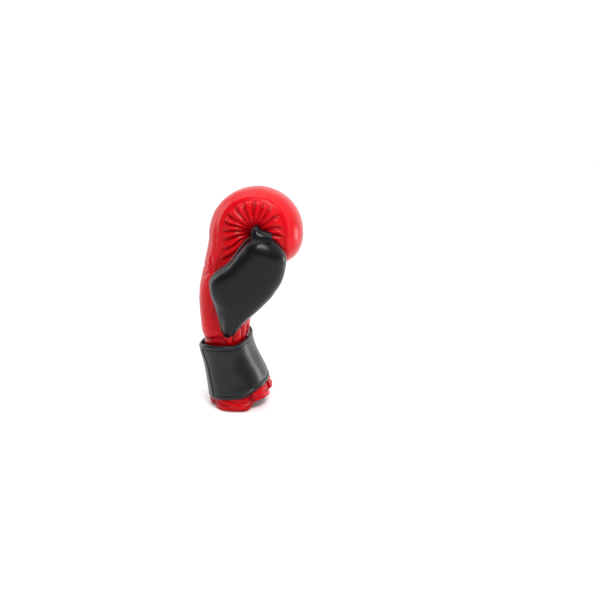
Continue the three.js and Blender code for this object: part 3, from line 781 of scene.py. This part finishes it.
def tube_slab(name, low, high, from_angle, to_angle, lifts, material, ripple=None):
    """A closed sheet that follows the tube between two distances, two angles and two heights."""
    s = np.linspace(low, high, max(4, int((high - low) / 2)))
    angle = np.linspace(from_angle, to_angle, max(4, int(abs(to_angle - from_angle) / 2)))
    top, bottom = (tube(s[:, None], angle[None], lift) for lift in lifts[::-1])
    if ripple:
        top = top + normals_of(top) * ripple(s[:, None], angle[None])[..., None]
    rings = np.concatenate([top, bottom[:, ::-1]], axis=1)
    obj = closed_loft(name, rings)
    finish_mesh(obj)
    return dress(obj, material)


def cuff_foam(name, node, low_angle, high_angle):
    """Foam between the cuff's leather and its lining."""
    s = np.linspace(8, 96, 40)[:, None]
    angle = np.linspace(low_angle, high_angle, max(8, int((high_angle - low_angle) / 4)))[None]
    outer, inner = tube(s, angle, -1.9), tube(s, angle, 1.9, 1.0)
    rings = np.concatenate([outer, inner[:, ::-1]], axis=1)
    rings[..., 2] += hem_rise(s, np.concatenate([angle, angle[:, ::-1]], axis=1))
    obj = closed_loft(name, rings)
    finish_mesh(obj)
    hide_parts(node)
    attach(obj, "cuff")
    return dress(obj, FOAM)


cuff_foam("cuff_foam_back", "cuff_back_pad", 8, 172)
cuff_foam("cuff_foam_thumb_flap", "cuff_thumb_flap_pad", 188, 256)
cuff_foam("cuff_foam_little_flap", "cuff_little_flap_pad", 284, 352)
lining = build_lining()
gusset = tube_slab(
    "slit_elastic", 6, 104, 262.5, 277.5, (-3.6, -2.0), CLOTH,
    ripple=lambda s, a: 0.35 * np.sin(s * 2.6) + 0 * a,
)
loop_tape = tube_slab(
    "loop_tape", STRAP_BOTTOM + 2, STRAP_TOP - 2, 30, BEND_BACK, (0.4, 1.5), TAPE,
    ripple=lambda s, a: 0.15 * np.sin(s * 1.9) * np.sin(a * 1.3),
)
hook_tape = tube_slab(
    "hook_tape", STRAP_BOTTOM + 6, STRAP_TOP - 6, STRAP_END + 4, BEND_BACK - 14, (1.6, 2.7), TAPE,
    ripple=lambda s, a: 0.12 * np.sin(s * 2.3) * np.sin(a * 1.7),
)

# ---------------------------------------------------------------- the thumb

THUMB_LENGTH = np.linalg.norm(THUMB_TIP - THUMB_BASE)
thumb_up = (THUMB_TIP - THUMB_BASE) / THUMB_LENGTH
across = np.cross([0, 1, 0], thumb_up)
across /= np.linalg.norm(across)
thumb_palmward = np.array(Matrix.Rotation(THUMB_ROLL * RAD, 3, Vector(thumb_up)) @ Vector(across))
thumb_inward = np.cross(thumb_up, thumb_palmward)


def thumb_point(share, angle):
    """Points of the thumb pad: 0 towards the palm, 90 out from the hand, 180 towards the back."""
    c, n = np.cos(angle * RAD), np.sin(angle * RAD)
    round_share = THUMB_ROUND / THUMB_LENGTH
    capped = np.maximum(0, share - 1 + round_share) / round_share
    rounding = np.sqrt(np.maximum(0, 1 - capped**2))
    started = np.sqrt(np.minimum(1, share / 0.06 + 0.02))

    def size(column):
        values = smooth_through(THUMB_SECTIONS[:, 0], THUMB_SECTIONS[:, column], share)
        return np.maximum(0.5, values * started) * rounding

    # Rounded, but with a crisper edge where the outer face meets the side towards the back of the hand.
    crisp = smoothstep(share, 0.25, 0.4) * smoothstep(share, 0.85, 0.65)
    p = np.where((c < 0) & (n > 0), 2 / mix(2.3, 3.6, crisp), 2 / 2.3)
    towards = power(c, p) * np.where(c > 0, size(2), size(1))
    outwards = power(n, p) * np.where(n > 0, size(3), size(4))
    at = (share * THUMB_LENGTH)[..., None]
    points = THUMB_BASE + thumb_up * at + thumb_palmward * towards[..., None]
    return points - thumb_inward * outwards[..., None]


PRESS = 1.2  # mm over which the thumb's surface turns flat against the hand


def press_against_hand(points, clearance):
    """Moves points that lie inside the hand out to its surface, seen along Y."""
    dg = bpy.context.evaluated_depsgraph_get()
    tree = BVHTree.FromObject(shell, dg)
    pressed = points.copy()
    flat = pressed.reshape(-1, 3)
    for v, room in zip(flat, clearance.ravel()):
        hit = tree.ray_cast(Vector((v[0] * MM, -0.2, v[2] * MM)), Vector((0, 1, 0)))[0]
        if hit is not None and hit.y < 0:
            limit = hit.y / MM - room
            if v[1] > limit - PRESS:
                over = v[1] - (limit - PRESS)
                v[1] = limit - PRESS * math.exp(-over / PRESS)
    return pressed


WELT_ANGLE, OUTER_SEAM_ANGLE, INNER_SEAM_ANGLE = 172, 194, 348
STITCH_ANGLE, PIPING_ANGLE, PIPING_RADIUS = 158, 174, 0.6
THUMB_ARC = 0.6  # mm of surface for each degree round the thumb


def build_thumb():
    ni, nj = 120, 132
    share = (np.sin(np.linspace(0, 1, ni) * math.pi / 2) ** 1.2)[:, None]
    angle = np.linspace(0, 360, nj, endpoint=False)[None]
    base = thumb_point(share + 0 * angle, angle + 0 * share)
    normal = -normals_of(base)
    facing = np.sin(angle * RAD)
    lift = 0.6 * wander(base, 26, 1) + 0.25 * wander(base, 9, 2)
    # A welt runs along the free upper edge, and a seam joins the outer and inner leather all round.
    off_edge = (angle - WELT_ANGLE) * THUMB_ARC
    upper = smoothstep(share, 0.42, 0.5) * smoothstep(share, 0.99, 0.93)
    lift = lift + upper * (0.5 * bump(off_edge, 0.9) - 0.3 * bump(off_edge + 2.2, 0.8))
    seam = bump((angle - OUTER_SEAM_ANGLE) * THUMB_ARC, 1.2)
    seam = seam + bump((angle - INNER_SEAM_ANGLE) * THUMB_ARC, 1.2)
    lift = lift - 0.9 * seam * smoothstep(share, 0.05, 0.15) * smoothstep(share, 0.99, 0.9)
    # Soft folds where the pad is drawn in at its lower end and by its tab.
    pull = smoothstep(share, 0.34, 0.08) * (facing > 0)
    lift = lift + 0.8 * pull * np.sin(angle * RAD * 7 + share * 9)
    crease_shade_and_dark_seams = np.clip(0.7 * seam, 0, 1) * np.ones_like(lift)
    points = base + normal * lift[..., None]
    # More room by the wrist, where the cuff's leather comes closer as the hand bends.
    points = press_against_hand(points, 0.7 + 2.2 * smoothstep(points[..., 2], 132, 110))
    thumb = grid_object("thumb_leather", points, crease_shade_and_dark_seams, wrap_columns=True)
    finish_mesh(thumb)
    dress(thumb, BLACK)
    outward = -normals_of(points)
    foam = closed_loft("thumb_foam", (points - outward * 2.0)[14:-3])
    finish_mesh(foam)
    dress(foam, FOAM)
    column = int(round(STITCH_ANGLE / 360 * nj))
    rows = np.arange(int(ni * 0.2), int(ni * 0.62))
    stitches = stitch_run("thumb_stitches", points[rows, column], outward[rows, column], BLACK_THREAD)
    edge = int(round(PIPING_ANGLE / 360 * nj))
    rows = np.arange(int(ni * 0.2), int(ni * 0.82))
    piping = tube_along("thumb_piping", points[rows, edge] + outward[rows, edge] * 0.35, PIPING_RADIUS)
    dress(piping, PIPING_PAINTED_HIGHLIGHT)
    return thumb, foam, stitches, piping


thumb, thumb_foam, thumb_stitches, thumb_piping = build_thumb()


def build_tab():
    """The rolled tab from the thumb's tip to the point where the folds of the fist meet."""
    route = np.array(
        [(-67, 219), (-66.5, 226), (-62, 231), (-56, 232.5), (-50.5, 231.5), (-46.5, 228.5), (-44, 224)]
    )
    steps = np.concatenate([[0], np.cumsum(np.linalg.norm(np.diff(route, axis=0), axis=1))])
    run = np.linspace(0, steps[-1], 40)
    y, z = (smooth_through(steps, route[:, k].astype(float), run) for k in (0, 1))
    tangent = np.stack([0 * y, np.gradient(y), np.gradient(z)], -1)
    tangent /= np.linalg.norm(tangent, axis=1, keepdims=True)
    up = np.cross([1.0, 0, 0], tangent)
    share = np.linspace(0, 1, 40)
    half = mix(12.0, 9.5, smoothstep(share, 0.35, 1))
    turn = np.linspace(0, 2 * math.pi, 48, endpoint=False)
    wide = power(np.cos(turn), 0.8)[None] * half[:, None]
    thick = power(np.sin(turn), 0.8)[None] * (1.4 + 1.9 * bump(wide + 6.5, 4.5))
    pleat = 2.2 * bump(wide + 6.5, 4.5) - 0.22 * (wide + 6.5) + 0.4 * np.cos(wide * 1.3)
    pleat = pleat * smoothstep(share, 0.12, 0.5)[:, None] * smoothstep(share, 1.05, 0.8)[:, None]
    centre = np.stack([36 + 3 * (1 - share), y, z], -1)
    rings = centre[:, None] + np.array([1.0, 0, 0]) * wide[..., None]
    rings = rings + up[:, None] * (thick + pleat)[..., None]
    tab = closed_loft("thumb_tab_leather", rings)
    finish_mesh(tab)
    return dress(tab, BLACK)


tab = build_tab()

# ---------------------------------------------------------------- the strap

# The strap's upper edge sags where the thumb's side turns to the palm: angle, and rise along the tube.
STRAP_TOP_EDGE = np.array(
    [(40, 0), (110, 1.5), (150, 3), (185, -2), (208, -4.5), (245, -5), (285, -4), (325, 0)], float
)


# Angles where one length of the strap's leather ends and the next begins.
STRAP_CUTS = [STRAP_SEWN, 264, 183, 94, STRAP_END]
STRAP_SEAM = 141  # the angle of the seam across the strap
STRAP_ARC = 0.75  # mm of surface for each degree round the strap


def strap_profile():
    """The strap's outline across its width, as (distance from its lower edge, height over the cuff)."""
    high = STRAP_TOP - STRAP_BOTTOM
    edge = [(0.5, 2.9), (0.0, 3.6), (0.0, 5.0), (0.4, 6.0), (1.3, 6.5), (2.6, 6.6), (3.8, 6.5)]
    edge += [(4.5, 6.1), (4.8, 5.6)]
    face = [(5.3, 5.75), (6.2, 6.1), (8, 6.3)]
    middle = [(u, 6.35) for u in np.linspace(11, high - 11, 18)]
    outer = edge + face + middle + [(high - u, v) for u, v in (edge + face)[::-1]]
    inner = [(u, 2.9) for u in np.linspace(high - 2, 2, 14)]
    return np.array(outer + inner, float)


def strap_points(angle, profile):
    """Rings of the strap at each angle, slack and lightly creased."""
    s = STRAP_BOTTOM + profile[:, 0][None]
    lift = profile[:, 1][None]
    a = angle[:, None]
    rim = smoothstep(s, 58, STRAP_TOP) * (0.5 + 3.0 * bump(a - 148, 42))
    rim = rim + smoothstep(s, 35, STRAP_BOTTOM) * 0.8 * bump(a - 250, 40)
    share = (s - STRAP_BOTTOM) / (STRAP_TOP - STRAP_BOTTOM)
    top_shift = smooth_through(STRAP_TOP_EDGE[:, 0], STRAP_TOP_EDGE[:, 1], a)
    bottom_shift = 7 * smoothstep(-np.sin(a * RAD), 0.1, 0.95)
    base = tube(s + mix(bottom_shift, top_shift, share), a + 0 * s, lift + rim)
    outer = smoothstep(lift, 3.2, 5.0)
    normal = normals_of(base)
    dents = 0.9 * wander(base, 32, 0) + 0.3 * wander(base, 12, 1)
    seam = bump((a - STRAP_SEAM) * STRAP_ARC, 1.0) * smoothstep(s, STRAP_BOTTOM + 3, STRAP_BOTTOM + 9)
    seam = seam * smoothstep(s, STRAP_TOP - 3, STRAP_TOP - 9)
    panel = smoothstep(a, 142.5, 139) * smoothstep(s, 18, 24) * smoothstep(s, 86, 80)
    height = dents * smoothstep(s, 20, 30) - 1.7 * seam + 0.7 * panel
    return base + normal * (outer * height)[..., None], seam * outer


def build_strap():
    profile = strap_profile()
    pieces = []
    for k, name in enumerate(("root", "palm", "thumb", "back")):
        start, end = STRAP_CUTS[k : k + 2]
        angle = np.linspace(start, end, max(12, int(abs(start - end) / 1.4)))
        rings, crease_shade_and_dark_seams = strap_points(angle, profile)
        piece = closed_loft(f"strap_{name}", rings, crease_shade_and_dark_seams)
        finish_mesh(piece)
        pieces.append(dress(piece, STRAP))
    return pieces


def build_strap_end():
    """Bound end of the strap: a flat bead across its width."""
    s = np.linspace(STRAP_BOTTOM + 0.4, STRAP_TOP - 0.4, 40)
    turn = np.linspace(0, 2 * math.pi, 20, endpoint=False)
    angle = STRAP_END + 0.6 + 2.4 * power(np.cos(turn), 0.6)[None]
    rings = tube(s[:, None], angle, 4.7 + 2.0 * power(np.sin(turn), 0.6)[None])
    end = closed_loft("strap_end", rings)
    finish_mesh(end)
    return dress(end, STRAP)


strap_root, strap_palm, strap_thumb, strap_back = build_strap()
strap_end = build_strap_end()


STRAP_STITCH_INSET, STRAP_STITCH_HEIGHT = 3.2, 6.55


def strap_stitches(name, body, from_angle, to_angle):
    angle = np.linspace(from_angle, to_angle, 60)
    made = []
    for edge, inward in (
        ("lower", STRAP_STITCH_INSET),
        ("upper", STRAP_TOP - STRAP_BOTTOM - STRAP_STITCH_INSET),
    ):
        profile = np.array([(inward + step, STRAP_STITCH_HEIGHT) for step in (-0.5, 0, 0.5)])
        rings, _ = strap_points(angle, profile)
        made.append((f"strap_stitches_{edge}_{name}", rings[:, 1], normals_of(rings)[:, 1]))
    return [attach(stitch_run(n, p, u, BLACK_THREAD, radius=0.3), body) for n, p, u in made]


for name, body, low, high in (
    ("root", "cuff", 318, 304),
    ("palm", "strap_palm", 299, 229),
    ("thumb", "strap_thumb", 222, 143),
    ("back", "strap_back", 136, 49),
):
    strap_stitches(name, body, low, high)

# ---------------------------------------------------------------- bodies

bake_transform(shell)
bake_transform(lining)
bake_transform(tab)
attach(palm_fold, "hand")
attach(gusset, "cuff")
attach(loop_tape, "cuff")
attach(hook_tape, "strap_back")
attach(thumb, "thumb")
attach(thumb_foam, "thumb")
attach(thumb_stitches, "thumb")
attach(thumb_piping, "thumb")


STRAP_FACE = 6.4  # mm from the cuff to the strap's outer face


def bend_span(angle, before, after):
    """Points on the strap before and after one of its bends."""
    middle = (STRAP_BOTTOM + STRAP_TOP) / 2
    return [tuple(tube(middle, angle + step, STRAP_FACE) * MM) for step in (before, after)]


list(bend_span(STRAP_ROOT, 9, -9))
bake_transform(strap_root)
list(bend_span(BEND_PALM, 9, -9))
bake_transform(strap_palm)
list(bend_span(BEND_BACK, 9, -9))
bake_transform(strap_thumb)
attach(strap_back, "strap_back")
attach(strap_end, "strap_back")

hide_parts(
    "cuff_back_leather", "cuff_thumb_flap_leather", "cuff_little_flap_leather", "hem_binding",
    "back_leather", "palm_leather", "finger_leather", "fingertip_leather",
)
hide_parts("cuff_lining", "hand_lining")
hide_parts("slit_gusset")
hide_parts("loop_panel")
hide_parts("hook_panel")
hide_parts("thumb_outer_leather", "thumb_inner_leather")
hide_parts("thumb_pad", "thumb_lining")
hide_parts("thumb_tab")
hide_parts("strap_end_binding")
for piece, span in ((strap_root, "root"), (strap_palm, "palm"), (strap_thumb, "thumb"), (strap_back, "back")):
    parts = ("facing", "backing", "lower_binding", "upper_binding")
    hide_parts(*[f"strap_{part}_{span}" for part in parts])

for name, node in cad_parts.items():
    if not node.hide_render:
        node.data.materials.clear()
        node.data.materials.append(CLOTH if "lining" in name else FOAM)

# ---------------------------------------------------------------- floor, light and camera

AIM_RIGHT, AIM_UP = 75, 134  # mm from the origin to the point the camera looks at
CAMERA_AZIMUTH, CAMERA_ELEVATION, CAMERA_DISTANCE = 6, 14, 850


def add_floor():
    mesh = bpy.data.meshes.new("floor")
    size = 6.0
    corners = [(-size, -size, 0), (size, -size, 0), (size, size, 0), (-size, size, 0)]
    mesh.from_pydata(corners, [], [(0, 1, 2, 3)])
    floor = bpy.data.objects.new("floor", mesh)
    bpy.context.collection.objects.link(floor)
    m = Nodes("floor_white")
    white = m.ramp(m.noise(400, 2), (0.92, 0.92, 0.93), (0.95, 0.95, 0.95))
    m.link(white, m.shader.inputs["Base Color"])
    m.set(Roughness=0.6)
    floor.data.materials.append(m.material)


def add_area(name, place, target, size, watts):
    light = bpy.data.lights.new(name, "AREA")
    light.shape, light.size, light.size_y = "RECTANGLE", *size
    light.energy = watts
    lamp = bpy.data.objects.new(name, light)
    lamp.location = place
    lamp.rotation_euler = (Vector(target) - Vector(place)).to_track_quat("-Z", "Y").to_euler()
    lamp.visible_camera = False
    bpy.context.collection.objects.link(lamp)


def add_world():
    """A soft studio: bright behind the glove and above it, dimmer on the camera's side."""
    world = bpy.data.worlds.new("studio")
    world.use_nodes = True
    tree = world.node_tree
    place = tree.nodes.new("ShaderNodeTexCoord")
    split = tree.nodes.new("ShaderNodeSeparateXYZ")
    fade = tree.nodes.new("ShaderNodeMapRange")
    fade.interpolation_type = "SMOOTHSTEP"
    fade.inputs["From Min"].default_value, fade.inputs["From Max"].default_value = -0.5, 0.35
    fade.inputs["To Min"].default_value, fade.inputs["To Max"].default_value = 0.45, 1.02
    tree.links.new(place.outputs["Generated"], split.inputs["Vector"])
    tree.links.new(split.outputs["Y"], fade.inputs["Value"])
    tree.links.new(fade.outputs["Result"], tree.nodes["Background"].inputs["Strength"])
    tree.nodes["Background"].inputs["Color"].default_value = (1, 1, 1, 1)
    bpy.context.scene.world = world


def add_lights():
    target = (0.01, 0, 0.15)
    sun = bpy.data.lights.new("overhead", "SUN")
    sun.energy, sun.angle = 1.1, 55 * RAD
    lamp = bpy.data.objects.new("overhead", sun)
    lamp.rotation_euler = (-12 * RAD, -10 * RAD, 0)
    bpy.context.collection.objects.link(lamp)
    add_area("key", (0.4, -0.62, 1.0), target, (0.6, 0.3), 11)
    add_area("right", (0.85, 0.5, 0.1), (0.02, -0.02, 0.06), (0.24, 0.3), 2.3)
    add_area("left", (-0.9, 0.35, 0.5), target, (0.4, 1.0), 2.5)


def add_camera():
    a, e = CAMERA_AZIMUTH * RAD, CAMERA_ELEVATION * RAD
    back = Vector((math.sin(a) * math.cos(e), -math.cos(a) * math.cos(e), math.sin(e)))
    aim = Vector((math.cos(a), math.sin(a), 0)) * AIM_RIGHT * MM + Vector((0, 0, AIM_UP * MM))
    data = bpy.data.cameras.new("camera")
    data.lens, data.sensor_width = 40, 36
    camera = bpy.data.objects.new("camera", data)
    camera.location = aim + back * CAMERA_DISTANCE * MM
    camera.rotation_euler = (-back).to_track_quat("-Z", "Y").to_euler()
    bpy.context.collection.objects.link(camera)
    bpy.context.scene.camera = camera


add_floor()
add_world()
add_lights()
add_camera()
bpy.context.scene.view_settings.view_transform = "Standard"

bpy.context.view_layer.update()
